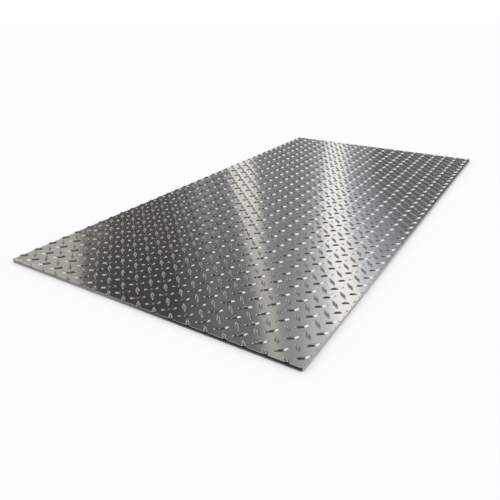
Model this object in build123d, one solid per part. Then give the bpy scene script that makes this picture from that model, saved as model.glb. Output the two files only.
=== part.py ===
import os
from math import cos, radians, sin

from build123d import *

# Sheared plate, in millimetres
plate_width = 609.6
plate_length = 1219.2
plate_thickness = 6.35
corner_radius = 4.0

# Rolled lugs: long lozenges in two crossed sets, checkered over the top face
lug_length = 26.5
lug_width = 7.4
lug_height = 1.9
lug_pitch = 33.2
lug_turn = 45
crossed_set_share = 0.5

# Where the shears fell on the pattern: the first lug's centre from the left and front edges
first_lug_from_left = 18.7
first_lug_from_front = 3.7

# Rolled stock left outside the shears on every side
shear_trim = 25.0


def sheared_outline(height):
    """The plate's outline from the underside up to a height, its corners eased by handling."""
    return extrude(RectangleRounded(plate_width, plate_length, corner_radius), height)


def lug_foot():
    """The lozenge in which a lug meets the top face."""
    tip = lug_length / 2
    side = lug_width / 2
    return Wire.make_polygon([(-tip, 0), (0, -side), (tip, 0), (0, side)])


def lug_places():
    """Each lug's place on the top face, with the whole lugs apart from those at the sheared edges."""
    turn = radians(lug_turn)
    reach_across = max(lug_length * cos(turn), lug_width * sin(turn)) / 2
    reach_along = max(lug_length * sin(turn), lug_width * cos(turn)) / 2
    columns = int(plate_width / lug_pitch) + 2
    rows = int(plate_length / lug_pitch) + 2
    whole, at_edge = [], []
    for set_share, set_turn in ((0, -lug_turn), (crossed_set_share, lug_turn)):
        for column in range(-1, columns):
            for row in range(-1, rows):
                x = first_lug_from_left + (column + set_share) * lug_pitch - plate_width / 2
                y = first_lug_from_front + (row + set_share) * lug_pitch - plate_length / 2
                beyond_side = abs(x) + reach_across - plate_width / 2
                beyond_end = abs(y) + reach_along - plate_length / 2
                place = Location((x, y, plate_thickness), (0, 0, set_turn))
                if max(beyond_side, beyond_end) < -corner_radius:
                    whole.append(place)
                elif beyond_side < 2 * reach_across and beyond_end < 2 * reach_along:
                    at_edge.append(place)
    return whole, at_edge


def rolled_and_sheared(lug, places):
    """The plate with the lugs along its edges, rolled on wider stock and then cut through."""
    stock = Rectangle(plate_width + 2 * shear_trim, plate_length + 2 * shear_trim)
    rolled = extrude(stock, plate_thickness) + [lug.moved(place) for place in places]
    return rolled & sheared_outline(plate_thickness + lug_height)


def with_whole_lugs(plate, lug, foot, places):
    """The same plate with the other lugs raised from its top face, as one closed skin."""
    top = plate.faces().filter_by(Plane.XY).sort_by(Axis.Z)[-1]
    other_faces = [face for face in plate.faces() if not face.is_same(top)]
    flanks = lug.faces().filter_by(lambda face: face.normal_at().Z > 0)
    ground = top.cut(*[Face(foot).moved(place) for place in places])
    lug_skin = [flank.moved(place) for place in places for flank in flanks]
    return Solid(Shell([ground, *other_faces, *lug_skin]))


foot = lug_foot()
lug = Solid.make_loft([foot, Vertex(0, 0, lug_height)], ruled=True)
whole_places, edge_places = lug_places()
plate = rolled_and_sheared(lug, edge_places)
checker_plate = with_whole_lugs(plate, lug, foot, whole_places)
print(len(whole_places), "whole lugs,", len(edge_places), "at the edges")

os.makedirs("parts", exist_ok=True)
export_step(checker_plate, "parts/checker_plate.step")
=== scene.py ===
from math import atan2, ceil, copysign, cos, degrees, pi, radians, sin, sqrt, tan

import bmesh
import bpy
from mathutils import Matrix, Quaternion, Vector


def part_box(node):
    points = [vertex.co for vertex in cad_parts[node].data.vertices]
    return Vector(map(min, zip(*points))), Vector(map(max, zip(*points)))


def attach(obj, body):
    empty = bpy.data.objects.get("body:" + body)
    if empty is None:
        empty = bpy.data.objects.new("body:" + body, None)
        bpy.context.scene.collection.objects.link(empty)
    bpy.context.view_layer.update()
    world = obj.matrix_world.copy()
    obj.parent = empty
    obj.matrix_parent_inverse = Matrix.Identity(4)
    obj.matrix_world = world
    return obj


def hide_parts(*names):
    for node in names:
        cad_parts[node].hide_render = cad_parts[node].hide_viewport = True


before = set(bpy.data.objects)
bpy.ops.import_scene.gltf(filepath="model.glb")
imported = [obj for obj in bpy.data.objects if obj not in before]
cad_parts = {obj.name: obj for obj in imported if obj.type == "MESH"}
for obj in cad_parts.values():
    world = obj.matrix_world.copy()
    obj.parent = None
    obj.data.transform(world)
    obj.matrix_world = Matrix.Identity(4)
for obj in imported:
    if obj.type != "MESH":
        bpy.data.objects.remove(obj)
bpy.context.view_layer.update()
scene = bpy.context.scene
scene.view_settings.view_transform = "Standard"

plateLow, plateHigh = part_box("checker_plate")
print("frame loaded, plate", [round(c, 4) for c in plateHigh - plateLow])


# Camera, at the photograph's viewing angle
view = {
    "stand": (0.5136, -1.0817, 0.4211),
    "aim": (0.0570, -0.3387, 0.0064),
    "roll": 0.05,            # degrees
    "lens": 35.33,
    "sensor": 36.0,
    "clip": (0.01, 200),
}


def addCamera():
    data = bpy.data.cameras.new("photoCamera")
    data.lens = view["lens"]
    data.sensor_width = view["sensor"]
    data.clip_start, data.clip_end = view["clip"]
    camera = bpy.data.objects.new("photoCamera", data)
    scene.collection.objects.link(camera)
    forward = (Vector(view["aim"]) - Vector(view["stand"])).normalized()
    roll = Quaternion((0, 0, 1), radians(view["roll"]))
    camera.location = view["stand"]
    camera.rotation_mode = "QUATERNION"
    camera.rotation_quaternion = forward.to_track_quat("-Z", "Y") @ roll
    scene.camera = camera
    return atan2(forward.x, forward.y)


heading = addCamera()
print("camera set, heading", round(degrees(heading), 2))


# The plate: one rolled sheet, its lugs, its sheared edges
plate = {
    "lugLength": 0.0265,
    "lugWidth": 0.0074,
    "lugHeight": 0.0019,
    "lugPitch": 0.0332,
    "firstFromLeft": 0.0187,
    "firstFromFront": 0.0037,
    "lugPoints": 12,
    "lugFullness": 1.4,      # 1 is a straight-sided lozenge, 2 a lens
    # each ring up the lug: shares of its length, width and height
    "lugRings": ((0.93, 0.80, 0.36), (0.83, 0.52, 0.84), (0.72, 0.32, 0.97)),
    "cellBulge": 0.0022,     # room for the lug tips between their neighbours
    "cornerRadius": 0.004,
    "cornerCuts": 4,
    "rollOver": 0.0002,      # radius that the shears drew down
    "rollSteps": 2,
    "cutSnap": 1e-6,         # a cut goes through a vertex this close to it
    "loopReach": 5e-6,       # a vertex this close to a loop is on it
    "weld": 1e-5,            # joins the tiles to their neighbours
}


def newVerts(result):
    return [g for g in result["geom"] if isinstance(g, bmesh.types.BMVert)]


def rimEdges(result):
    # the far edges of an extrusion
    fresh = set(newVerts(result))
    edges = [g for g in result["geom"] if isinstance(g, bmesh.types.BMEdge)]
    return [e for e in edges if e.verts[0] in fresh and e.verts[1] in fresh]


def addLug(bm):
    # a circle drawn out to a lens, then drawn up ring by ring to a crown
    halfLength = plate["lugLength"] / 2
    halfWidth = plate["lugWidth"] / 2
    foot = bmesh.ops.create_circle(bm, segments=plate["lugPoints"], radius=1)["verts"]
    for v in foot:
        side = (1 - min(abs(v.co.x), 1) ** plate["lugFullness"]) * halfWidth
        v.co.y = copysign(side, v.co.y)
        v.co.x *= halfLength
    footEdges = list({e for v in foot for e in v.link_edges})
    rim = footEdges
    last = (1, 1, 0)
    for ring in plate["lugRings"]:
        grown = bmesh.ops.extrude_edge_only(bm, edges=rim)
        stretch = (ring[0] / last[0], ring[1] / last[1], 1)
        bmesh.ops.scale(bm, vec=stretch, verts=newVerts(grown))
        rise = (ring[2] - last[2]) * plate["lugHeight"]
        bmesh.ops.translate(bm, vec=(0, 0, rise), verts=newVerts(grown))
        rim = rimEdges(grown)
        last = ring
    cap = bmesh.ops.edgeloop_fill(bm, edges=rim)["faces"]
    for v in bmesh.ops.poke(bm, faces=cap)["verts"]:
        v.co.z = plate["lugHeight"]
    for e in footEdges:
        e.smooth = False     # the ground stays flat up to the lug
    return footEdges


def addCell(bm, footEdges):
    # the ground round one lug, an eight-sided tile that bulges past the lug's tips
    half = plate["lugPitch"] / sqrt(8)
    bulge = plate["cellBulge"]
    corners = bmesh.ops.create_circle(bm, segments=8, radius=1)["verts"]
    for v in corners:
        x, y = round(v.co.x), round(v.co.y)     # each -1, 0 or 1
        if y == 0:
            v.co = (x * (half + bulge), 0, 0)
        elif x == 0:
            v.co = (0, y * (half - bulge), 0)
        else:
            v.co = (x * half, y * half, 0)
    rim = list({e for v in corners for e in v.link_edges})
    bmesh.ops.triangle_fill(bm, use_beauty=True, edges=rim + footEdges)


def lugPair():
    # one lug of each set, crossed
    bm = bmesh.new()
    addCell(bm, addLug(bm))
    firstTurn = Matrix.Rotation(-pi / 4, 3, "Z")
    bmesh.ops.rotate(bm, cent=(0, 0, 0), matrix=firstTurn, verts=bm.verts)
    crossed = newVerts(bmesh.ops.duplicate(bm, geom=bm.verts[:] + bm.edges[:] + bm.faces[:]))
    quarterTurn = Matrix.Rotation(pi / 2, 3, "Z")
    bmesh.ops.rotate(bm, cent=(0, 0, 0), matrix=quarterTurn, verts=crossed)
    step = plate["lugPitch"] / 2
    bmesh.ops.translate(bm, vec=(step, step, 0), verts=crossed)
    bmesh.ops.remove_doubles(bm, verts=bm.verts, dist=plate["weld"])
    bmesh.ops.recalc_face_normals(bm, faces=bm.faces)
    if sum(f.normal.z for f in bm.faces) < 0:
        bmesh.ops.reverse_faces(bm, faces=bm.faces)
    return bm


def rolledStock():
    # the pair of lugs repeated in rows and columns, past the plate's edges on all sides
    pair = lugPair()
    pitch = plate["lugPitch"]
    start = (
        plateLow.x + plate["firstFromLeft"] - pitch,
        plateLow.y + plate["firstFromFront"] - pitch,
        plateHigh.z - plate["lugHeight"],
    )
    bmesh.ops.translate(pair, vec=start, verts=pair.verts)
    mesh = bpy.data.meshes.new("rolledStock")
    pair.to_mesh(mesh)
    pair.free()
    stock = bpy.data.objects.new("rolledStock", mesh)
    scene.collection.objects.link(stock)
    size = plateHigh - plateLow
    for axis, extent in ((0, size.x), (1, size.y)):
        array = stock.modifiers.new("repeat", "ARRAY")
        array.use_relative_offset = False
        array.use_constant_offset = True
        array.constant_offset_displace = [pitch if k == axis else 0 for k in range(3)]
        array.count = ceil(extent / pitch) + 2     # one more at each end
        array.use_merge_vertices = True
        array.merge_threshold = plate["weld"]
    depsgraph = bpy.context.evaluated_depsgraph_get()
    whole = bpy.data.meshes.new_from_object(stock.evaluated_get(depsgraph))
    bpy.data.objects.remove(stock)
    bm = bmesh.new()
    bm.from_mesh(whole)
    bpy.data.meshes.remove(whole)
    bmesh.ops.remove_doubles(bm, verts=bm.verts, dist=plate["weld"])
    return bm


def outlinePlanes(inset):
    # the planes that bound the outline: four sides, and cuts across each rounded corner
    halfX, halfY = plateHigh.x - inset, plateHigh.y - inset
    radius = plate["cornerRadius"]
    yield Vector((halfX, 0, 0)), Vector((1, 0, 0))
    yield Vector((-halfX, 0, 0)), Vector((-1, 0, 0))
    yield Vector((0, halfY, 0)), Vector((0, 1, 0))
    yield Vector((0, -halfY, 0)), Vector((0, -1, 0))
    for sideX in (1, -1):
        for sideY in (1, -1):
            cornerX, cornerY = sideX * (plateHigh.x - radius), sideY * (plateHigh.y - radius)
            for cut in range(plate["cornerCuts"]):
                angle = (cut + 0.5) / plate["cornerCuts"] * pi / 2
                out = Vector((sideX * cos(angle), sideY * sin(angle), 0))
                yield Vector((cornerX, cornerY, 0)) + out * (radius - inset), out


sides = list(outlinePlanes(0))


def depthInside(point):
    # how far a point lies inside the outline, or the corner radius where it is further in
    inner = plate["cornerRadius"]
    if abs(point.x) < plateHigh.x - inner and abs(point.y) < plateHigh.y - inner:
        return inner
    return min((side - point).dot(normal) for side, normal in sides)


def cutAcross(bm, point, normal, clear):
    # only the mesh within a pitch of the plane, or outside it, is looked at
    verts = [v for v in bm.verts if (v.co - point).dot(normal) > -plate["lugPitch"]]
    faces = {f for v in verts for f in v.link_faces}
    edges = {e for v in verts for e in v.link_edges} | {e for f in faces for e in f.edges}
    geom = list({v for f in faces for v in f.verts}) + list(edges) + list(faces)
    snap = plate["cutSnap"]
    bmesh.ops.bisect_plane(bm, geom=geom, plane_co=point, plane_no=normal, clear_outer=clear, dist=snap)


def shear(bm):
    for point, normal in sides:
        cutAcross(bm, point, normal, clear=True)
    print("sheared to size,", len(bm.faces), "faces")


def rollOverEdge(bm):
    # loops beside the outline, then drawn down to a round edge
    radius = plate["rollOver"]
    for step in range(plate["rollSteps"]):
        inset = radius * (1 - sin(step / plate["rollSteps"] * pi / 2))
        for point, normal in outlinePlanes(inset):
            cutAcross(bm, point, normal, clear=False)
    inner = {v for v in bm.verts if abs(depthInside(v.co) - radius) < plate["loopReach"]}
    for e in bm.edges:
        if e.verts[0] in inner and e.verts[1] in inner:
            e.smooth = False     # the top stays flat up to the round
    for v in bm.verts:
        depth = max(depthInside(v.co), 0)
        if depth < radius and v not in inner:
            v.co.z -= radius - sqrt(radius ** 2 - (radius - depth) ** 2)


def closeUnderside(bm):
    edges = [e for e in bm.edges if e.is_boundary]
    grown = bmesh.ops.extrude_edge_only(bm, edges=edges)
    for v in newVerts(grown):
        v.co.z = plateLow.z
    rim = rimEdges(grown)
    bmesh.ops.edgeloop_fill(bm, edges=rim)
    for e in edges + rim:
        e.smooth = False     # the sheared faces stand straight
    bmesh.ops.recalc_face_normals(bm, faces=bm.faces)


def buildPlate():
    bm = rolledStock()
    shear(bm)
    rollOverEdge(bm)
    closeUnderside(bm)
    loose = [e for e in bm.edges if not e.is_manifold]
    print("plate closed,", len(bm.faces), "faces,", len(loose), "open edges")
    for f in bm.faces:
        f.smooth = True
    mesh = bpy.data.meshes.new("checkerPlate")
    bm.to_mesh(mesh)
    bm.free()
    piece = bpy.data.objects.new("checkerPlate", mesh)
    scene.collection.objects.link(piece)
    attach(piece, "root")
    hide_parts("checker_plate")
    return piece


# Shader nodes, for the metal and for what it mirrors
mixSockets = {"FLOAT": (2, 3, 0), "RGBA": (6, 7, 2)}     # a Mix node's two inputs and its output


def feed(tree, socket, value):
    if isinstance(value, bpy.types.NodeSocket):
        tree.links.new(value, socket)
    else:
        socket.default_value = value


def mixed(tree, kind, share, first, second):
    node = tree.nodes.new("ShaderNodeMix")
    node.data_type = kind
    firstInput, secondInput, output = mixSockets[kind]
    feed(tree, node.inputs[0], share)
    feed(tree, node.inputs[firstInput], first)
    feed(tree, node.inputs[secondInput], second)
    return node.outputs[output]


def worked(tree, operation, *values):
    node = tree.nodes.new("ShaderNodeMath")
    node.operation = operation
    for socket, value in zip(node.inputs, values):
        feed(tree, socket, value)
    return node.outputs["Value"]


def ramp(tree, value, start, end):
    # 0 up to the start, 1 from the end on
    node = tree.nodes.new("ShaderNodeMapRange")
    node.inputs["From Min"].default_value = start
    node.inputs["From Max"].default_value = end
    tree.links.new(value, node.inputs["Value"])
    return node.outputs["Result"]


def along(tree, vector, axis):
    node = tree.nodes.new("ShaderNodeSeparateXYZ")
    tree.links.new(vector, node.inputs["Vector"])
    return node.outputs[axis]


# Bare rolled aluminium, duller where the shears went through it, its sheared faces darkened with
# painted shade
aluminium = {
    "colour": (0.86, 0.86, 0.855, 1),
    "roughness": (0.10, 0.135),
    "blotchScale": 9.0,
    "streakScale": (420.0, 5.0, 5.0),    # fine along X, long along Y, the way it was rolled
    "streakShare": 0.35,
    "waveScale": 11.0,
    "waveDepth": 0.00016,
    # sheared faces: burnished by the blade above, torn below; their grey colours are partly duller cut
    # metal and partly painted shade
    "shearedFacing": (0.6, 0.2),         # how far the surface still faces up, start and end
    "burnishColourAndShade": (0.42, 0.42, 0.41, 1),
    "burnishRoughness": 0.22,
    "tornColourAndShade": (0.62, 0.61, 0.60, 1),
    "tornRoughness": 0.70,
    "tornHeight": (0.0024, 0.0040),
    "tornScale": 160.0,
    "raggedness": 0.002,                 # how far the line between them wanders
    # the left near corner, paler pinkish, rougher and less metallic in patches
    "pinkPatchColour": (0.62, 0.55, 0.52, 1),
    "pinkPatchRoughness": 0.42,
    "pinkPatchMetal": 0.2,
    "pinkPatchReach": (0.115, 0.013),        # along the near edge, and in from it
    "pinkPatchFull": (0.3, 0.2),             # shares of the reach with no fading
    "pinkPatchScale": 95.0,
    "pinkPatchEdges": (0.42, 0.58),
}


def millAluminium():
    material = bpy.data.materials.new("millAluminium")
    material.use_nodes = True
    tree = material.node_tree
    shader = tree.nodes["Principled BSDF"]
    place = tree.nodes.new("ShaderNodeTexCoord").outputs["Object"]
    facing = tree.nodes.new("ShaderNodeNewGeometry").outputs["Normal"]

    def noise(scale, detail, stretch=(1, 1, 1)):
        mapping = tree.nodes.new("ShaderNodeMapping")
        mapping.inputs["Scale"].default_value = stretch
        tree.links.new(place, mapping.inputs["Vector"])
        node = tree.nodes.new("ShaderNodeTexNoise")
        node.inputs["Scale"].default_value = scale
        node.inputs["Detail"].default_value = detail
        tree.links.new(mapping.outputs["Vector"], node.inputs["Vector"])
        return node.outputs[0]

    # rolling lines and blotches in the polish
    blotches = noise(aluminium["blotchScale"], detail=3)
    streaks = noise(1, detail=2, stretch=aluminium["streakScale"])
    polish = mixed(tree, "FLOAT", aluminium["streakShare"], blotches, streaks)
    rough = mixed(tree, "FLOAT", polish, *aluminium["roughness"])

    # the sheared faces, where the surface stands upright, torn below a ragged line, their darker colour
    # partly painted shade
    sheared = ramp(tree, along(tree, facing, "Z"), *aluminium["shearedFacing"])
    tears = noise(aluminium["tornScale"], detail=3)
    wander = aluminium["raggedness"]
    ragged = worked(tree, "MULTIPLY_ADD", tears, wander, along(tree, place, "Z"))
    burnished = ramp(tree, ragged, *(height + wander / 2 for height in aluminium["tornHeight"]))
    # painted shade: the sheared faces take a darker grey than the metal's own colour
    edgeColourAndShade = mixed(tree, "RGBA", burnished, aluminium["tornColourAndShade"], aluminium["burnishColourAndShade"])
    edgeRough = mixed(
        tree, "FLOAT", burnished, aluminium["tornRoughness"], aluminium["burnishRoughness"])

    # the pinkish corner patches fade along the edge and in from it
    fades = []
    for axis, reach, full in zip("XY", aluminium["pinkPatchReach"], aluminium["pinkPatchFull"]):
        edge = plateLow["XY".index(axis)]
        fades.append(ramp(tree, along(tree, place, axis), edge + reach, edge + reach * full))
    patchy = ramp(tree, noise(aluminium["pinkPatchScale"], detail=4), *aluminium["pinkPatchEdges"])
    onTop = worked(tree, "SUBTRACT", 1, sheared)
    corner = worked(tree, "MULTIPLY", *fades)
    pinkPatched = worked(tree, "MULTIPLY", corner, worked(tree, "MULTIPLY", patchy, onTop))
    topColour = mixed(tree, "RGBA", pinkPatched, aluminium["colour"], aluminium["pinkPatchColour"])
    topRough = mixed(tree, "FLOAT", pinkPatched, rough, aluminium["pinkPatchRoughness"])

    feed(tree, shader.inputs["Metallic"], mixed(tree, "FLOAT", pinkPatched, 1, aluminium["pinkPatchMetal"]))
    feed(tree, shader.inputs["Base Color"], mixed(tree, "RGBA", sheared, topColour, edgeColourAndShade))
    feed(tree, shader.inputs["Roughness"], mixed(tree, "FLOAT", sheared, topRough, edgeRough))

    # the sheet isn't quite flat
    bump = tree.nodes.new("ShaderNodeBump")
    bump.inputs["Strength"].default_value = 1
    bump.inputs["Distance"].default_value = aluminium["waveDepth"]
    feed(tree, bump.inputs["Height"], noise(aluminium["waveScale"], detail=2))
    feed(tree, shader.inputs["Normal"], bump.outputs["Normal"])
    return material


plateObject = buildPlate()
plateObject.data.materials.append(millAluminium())
print("plate finished in bare aluminium")


# Floor, white room and the grey cards that stand round it for the metal to mirror
studio = {
    "floorSize": 60.0,
    "floorColour": (0.985, 0.985, 0.985, 1),
    "roomColour": (1, 1, 1, 1),
    "roomStrength": 1.0,
    "cardDistance": 100.0,
    # heights at which each card's left and right edges are given, in degrees
    "heights": (-1, 13, 16.5, 19.5, 23, 27.5, 33.5, 46),
    "gradeHeights": (17, 28),            # a card goes from its low colour to its high one here
    "wallFoot": -1,
    "wallParts": 3,                      # flat lengths, so that a wide wall keeps its distance
    "ceilingHeight": 30.0,
    "ceilingStep": 0.2,                  # each part hangs this much below the one before
    # a mat on the floor before the near edge, seen only in that edge, paler to the left
    "mat": {"low": (-0.9, -2.2), "high": (0.9, -0.6096), "height": 0.0004},
    "matColours": ((0.42, 0.415, 0.40), (0.05, 0.05, 0.048)),
    "matChange": (-0.06, 0.08),
}

# seams between neighbouring cards, in degrees right of the camera's heading, one for each height
seams = {
    "farLeft": (-85,) * 8,
    "wallMid": (-50,) * 8,
    "paleStart": (-28,) * 8,
    "paleEnd": (-21, -21, -21, -21, -21, -21.8, -22, -22),
    "darkStart": (-17.5, -17.5, -17.5, -17.5, -17.8, -20.6, -21, -21),
    "darkEnd": (-10, -10, -10, -9.5, -9, -9, -9, -8),
    "faintStart": (-7, -7, -7, -7, -6.2, -5.9, -4.8, -3),
    "faintEnd": (-5, -5, -5, -5, -4.6, -4.5, -3.3, -1.5),
    "streakStart": (-4.0, -3.3, -2.6, -1.9, -0.8, 0.1, 1.6, 4.3),
    "streakEnd": (-1.0, -0.2, 0.5, 1.0, 1.4, 2.1, 3.8, 6),
    "shoulderStart": (5.9, 5.9, 5.9, 5.9, 5.8, 5.8, 5.8, 7),
    "glowStart": (7.5, 7.5, 7.5, 7.5, 7.6, 7.8, 8.0, 9),
    "bandStart": (8.7, 8.8, 8.8, 8.9, 9.2, 10.1, 11.5, 14.5),
    "bandEnd": (11.0, 11.1, 11.3, 12.0, 12.5, 14.0, 15.6, 18),
    "blueEnd": (12.0, 12.0, 12.2, 13.4, 15, 17, 20, 26),
    "dimEnd": (14, 14, 14.2, 16, 18.5, 22, 26, 32),
    "rightEnd": (26, 26, 26, 26, 27, 29, 32, 38),
    "farRight": (60,) * 8,
}

# each card: the seams it stands between, and its colour low down and high up
cards = {
    "leftWall": ("farLeft", "wallMid", (0.21, 0.205, 0.19), (0.30, 0.295, 0.28)),
    "nearWall": ("wallMid", "paleStart", (0.32, 0.315, 0.29), (0.17, 0.167, 0.155)),
    "leftPale": ("paleStart", "paleEnd", (0.47, 0.46, 0.41), (0.42, 0.41, 0.36)),
    "leftHalf": ("paleEnd", "darkStart", (0.25, 0.24, 0.20), (0.07, 0.065, 0.06)),
    "leftDark": ("darkStart", "darkEnd", (0.105, 0.10, 0.09), (0.060, 0.058, 0.053)),
    "leftGrey": ("darkEnd", "faintStart", (0.14, 0.138, 0.13), (0.115, 0.113, 0.105)),
    "faint": ("faintStart", "faintEnd", (0.25, 0.245, 0.23), (0.185, 0.18, 0.17)),
    "besideStreak": ("faintEnd", "streakStart", (0.19, 0.19, 0.185), (0.145, 0.145, 0.14)),
    "streak": ("streakStart", "streakEnd", (0.84, 0.82, 0.75), (0.53, 0.52, 0.46)),
    "middle": ("streakEnd", "shoulderStart", (0.20, 0.208, 0.204), (0.225, 0.23, 0.225)),
    "shoulder": ("shoulderStart", "glowStart", (0.235, 0.243, 0.24), (0.31, 0.315, 0.315)),
    "glow": ("glowStart", "bandStart", (0.36, 0.37, 0.37), (0.51, 0.515, 0.515)),
    "band": ("bandStart", "bandEnd", (1.0, 0.985, 0.94), (1.0, 0.97, 0.91)),
    "blue": ("bandEnd", "blueEnd", (0.44, 0.46, 0.48), (0.56, 0.59, 0.63)),
    "dim": ("blueEnd", "dimEnd", (0.27, 0.28, 0.30), (0.32, 0.34, 0.38)),
    "right": ("dimEnd", "rightEnd", (0.115, 0.117, 0.122), (0.22, 0.225, 0.24)),
    "rightDark": ("rightEnd", "farRight", (0.07, 0.07, 0.072), (0.04, 0.04, 0.041)),
}

# the room's other walls: left and right edge, top, all in degrees, and grey low down and high up
walls = {
    "rightWall": (60, 84, 40, 0.36, 0.22),
    "rightWindow": (84, 90, 40, 0.95, 0.70),
    "rightPier": (90, 112, 40, 0.42, 0.24),
    "rightPanel": (112, 116, 40, 0.80, 0.55),
    "rightFar": (116, 128, 40, 0.46, 0.28),
    "rightBack": (128, 150, 40, 0.36, 0.24),
    "backWindow": (150, 158, 40, 0.90, 0.60),
    "back": (158, 176, 46, 0.34, 0.18),
    "backPanel": (176, 181, 46, 0.80, 0.50),
    "backLeft": (181, 196, 46, 0.38, 0.22),
    "leftBack": (196, 206, 42, 0.50, 0.42),
    "leftWindow": (206, 214, 42, 0.95, 0.85),
    "leftPier": (214, 232, 42, 0.50, 0.42),
    "leftSide": (232, 275, 50, 0.35, 0.35),
}

# the ceiling: each part's colour and its rows, as shares of the ceiling's height:
# how far ahead of the plate the row is, and its left and right ends
ceiling = {
    "darkCeiling": ((0.06, 0.06, 0.058), (-1.6, -3.0, 1.6), (1.0, -3.0, 1.6)),
    "aheadLeft": ((0.25, 0.25, 0.24), (0.4, -3.0, -0.33), (1.0, -3.0, -0.33)),
    "leftLight": ((1.0, 1.0, 0.98), (-0.95, -3.0, -0.42), (0.4, -3.0, -0.42)),
    "leftInner": ((0.34, 0.34, 0.33), (-1.8, -0.42, -0.28), (0.4, -0.42, -0.28)),
    "skylight": (
        (1.0, 1.0, 1.0), (-1.1, 1.05, 1.9), (-0.25, 0.46, 1.15), (0.1, 0.30, 0.85),
        (0.95, 0.28, 0.70)),
    "skylightEdge": ((0.30, 0.30, 0.30), (0.1, 0.16, 0.30), (0.95, 0.16, 0.28)),
    "stripLight": ((0.9, 0.9, 0.9), (-1.0, 0.04, 0.075), (0.6, 0.04, 0.075)),
    "leftBehind": ((0.62, 0.62, 0.61), (-1.8, -3.0, -0.42), (-0.95, -3.0, -0.42)),
}


def addStage(name, bm, material):
    mesh = bpy.data.meshes.new(name)
    bm.to_mesh(mesh)
    bm.free()
    obj = bpy.data.objects.new(name, mesh)
    scene.collection.objects.link(obj)
    obj.data.materials.append(material)
    return obj


def onlyInReflections(obj):
    obj.visible_camera = False
    obj.visible_diffuse = False
    obj.visible_shadow = False
    obj.visible_transmission = False
    obj.visible_volume_scatter = False


def stripGrid(bm, rows):
    # a grid one face wide, each vertex with its row's number and whether it is on the right
    grid = bmesh.ops.create_grid(bm, x_segments=1, y_segments=rows - 1, size=1)["verts"]
    return [(v, round((v.co.y + 1) / 2 * (rows - 1)), v.co.x > 0) for v in grid]


def addLevel(name, low, high, height, material):
    # a level rectangle
    bm = bmesh.new()
    for v, row, onRight in stripGrid(bm, 2):
        v.co = ((high if onRight else low)[0], (high if row else low)[1], height)
    return addStage(name, bm, material)


def addCard(name, left, right, heights, material):
    # an upright strip, its edges given height by height
    reach = studio["cardDistance"]
    bm = bmesh.new()
    for v, row, onRight in stripGrid(bm, len(heights)):
        angle = heading + radians((right if onRight else left)[row])
        v.co = (reach * sin(angle), reach * cos(angle), reach * tan(radians(heights[row])))
    onlyInReflections(addStage(name, bm, material))


def addCeiling(name, rows, height, material):
    # a level strip overhead, its ends given row by row
    bm = bmesh.new()
    for v, row, onRight in stripGrid(bm, len(rows)):
        ahead, left, right = rows[row]
        v.co = ((right if onRight else left) * height, ahead * height, height)
    turn = Matrix.Rotation(-heading, 3, "Z")
    bmesh.ops.rotate(bm, cent=(0, 0, 0), matrix=turn, verts=bm.verts)
    onlyInReflections(addStage(name, bm, material))


def cardMaterial(name, low, high, axis="Z", change=None):
    # a plain grey that changes gently from the card's foot to its top, or along another axis
    material = bpy.data.materials.new(name)
    material.use_nodes = True
    tree = material.node_tree
    tree.nodes.clear()
    place = tree.nodes.new("ShaderNodeTexCoord").outputs["Object"]
    grade = [studio["cardDistance"] * tan(radians(angle)) for angle in studio["gradeHeights"]]
    share = ramp(tree, along(tree, place, axis), *(change or grade))
    glow = tree.nodes.new("ShaderNodeEmission")
    feed(tree, glow.inputs["Color"], mixed(tree, "RGBA", share, (*low, 1), (*high, 1)))
    output = tree.nodes.new("ShaderNodeOutputMaterial")
    feed(tree, output.inputs["Surface"], glow.outputs["Emission"])
    return material


def addFloor():
    half = studio["floorSize"] / 2
    material = bpy.data.materials.new("paleFloor")
    material.use_nodes = True
    shader = material.node_tree.nodes["Principled BSDF"]
    shader.inputs["Base Color"].default_value = studio["floorColour"]
    shader.inputs["Roughness"].default_value = 1
    shader.inputs["Specular IOR Level"].default_value = 0
    addLevel("floor", (-half, -half), (half, half), 0, material)
    mat = studio["mat"]
    matMaterial = cardMaterial("mat", *studio["matColours"], "X", studio["matChange"])
    onlyInReflections(addLevel("mat", mat["low"], mat["high"], mat["height"], matMaterial))


def addRoom():
    for name, (start, end, low, high) in cards.items():
        addCard(name, seams[start], seams[end], studio["heights"], cardMaterial(name, low, high))
    parts = studio["wallParts"]
    for name, (left, right, top, low, high) in walls.items():
        material = cardMaterial(name, (low,) * 3, (high,) * 3)
        for part in range(parts):
            start, end = (left + (right - left) * (part + k) / parts for k in (0, 1))
            addCard(name, (start,) * 2, (end,) * 2, (studio["wallFoot"], top), material)
    height = studio["ceilingHeight"]
    for name, (colour, *rows) in ceiling.items():
        addCeiling(name, rows, height, cardMaterial(name, colour, colour))
        height -= studio["ceilingStep"]
    world = bpy.data.worlds.new("whiteRoom")
    world.use_nodes = True
    background = world.node_tree.nodes["Background"]
    background.inputs["Color"].default_value = studio["roomColour"]
    background.inputs["Strength"].default_value = studio["roomStrength"]
    scene.world = world


addFloor()
addRoom()
print("studio set")
